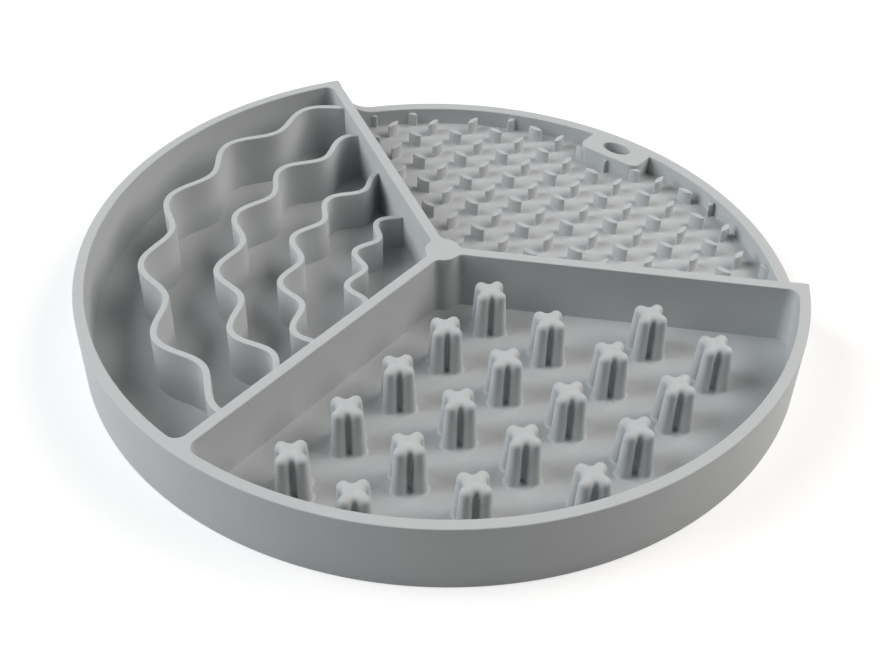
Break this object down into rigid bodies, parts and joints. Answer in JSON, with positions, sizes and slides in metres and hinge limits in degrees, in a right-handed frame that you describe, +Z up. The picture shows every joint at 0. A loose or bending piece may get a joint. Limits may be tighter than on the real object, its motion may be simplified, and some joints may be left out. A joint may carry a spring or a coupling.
{
  "type": "slow feeder bowl",
  "caption": "Round silicone slow feeder bowl with a deep compartment of wavy ribs, a deep compartment of studs, a shallow compartment of licking nubs and a hanging hole.",
  "frame": {"origin": "on the underside, at the middle of the round floor", "axes": "+Z up out of the bowl, +Y from the middle towards the hanging hole"},
  "size_m": [0.2, 0.2, 0.02],
  "materials": {
    "silicone": "matte moulded silicone, light neutral grey"
  },
  "bodies": {
    "root": {"base_disc": "silicone", "wave_wall": "silicone", "stud_wall": "silicone", "lick_wall": "silicone", "wave_rim_sweep": "silicone", "stud_rim_sweep": "silicone", "hub_post": "silicone", "wave_lick_divider": "silicone", "wave_stud_divider": "silicone", "stud_lick_divider": "silicone", "hanging_tab": "silicone", "wave_rib_1": "silicone", "wave_rib_2": "silicone", "wave_rib_3": "silicone", "wave_rib_4": "silicone", "cross_stud_1_3": "silicone", "cross_stud_1_4": "silicone", "cross_stud_2_1": "silicone", "cross_stud_2_2": "silicone", "cross_stud_2_3": "silicone", "cross_stud_2_4": "silicone", "cross_stud_3_1": "silicone", "cross_stud_3_2": "silicone", "cross_stud_3_3": "silicone", "cross_stud_3_4": "silicone", "cross_stud_4_1": "silicone", "cross_stud_4_2": "silicone", "cross_stud_4_3": "silicone", "cross_stud_4_4": "silicone", "cross_stud_5_1": "silicone", "cross_stud_5_2": "silicone", "cross_stud_5_3": "silicone", "cross_stud_6_1": "silicone", "cross_stud_6_2": "silicone", "lick_row_1": "silicone", "lick_row_2": "silicone", "lick_row_3": "silicone", "lick_row_4": "silicone", "lick_row_5": "silicone", "lick_row_6": "silicone", "lick_row_7": "silicone", "lick_row_8": "silicone", "lick_row_9": "silicone"}
  },
  "joints": []
}
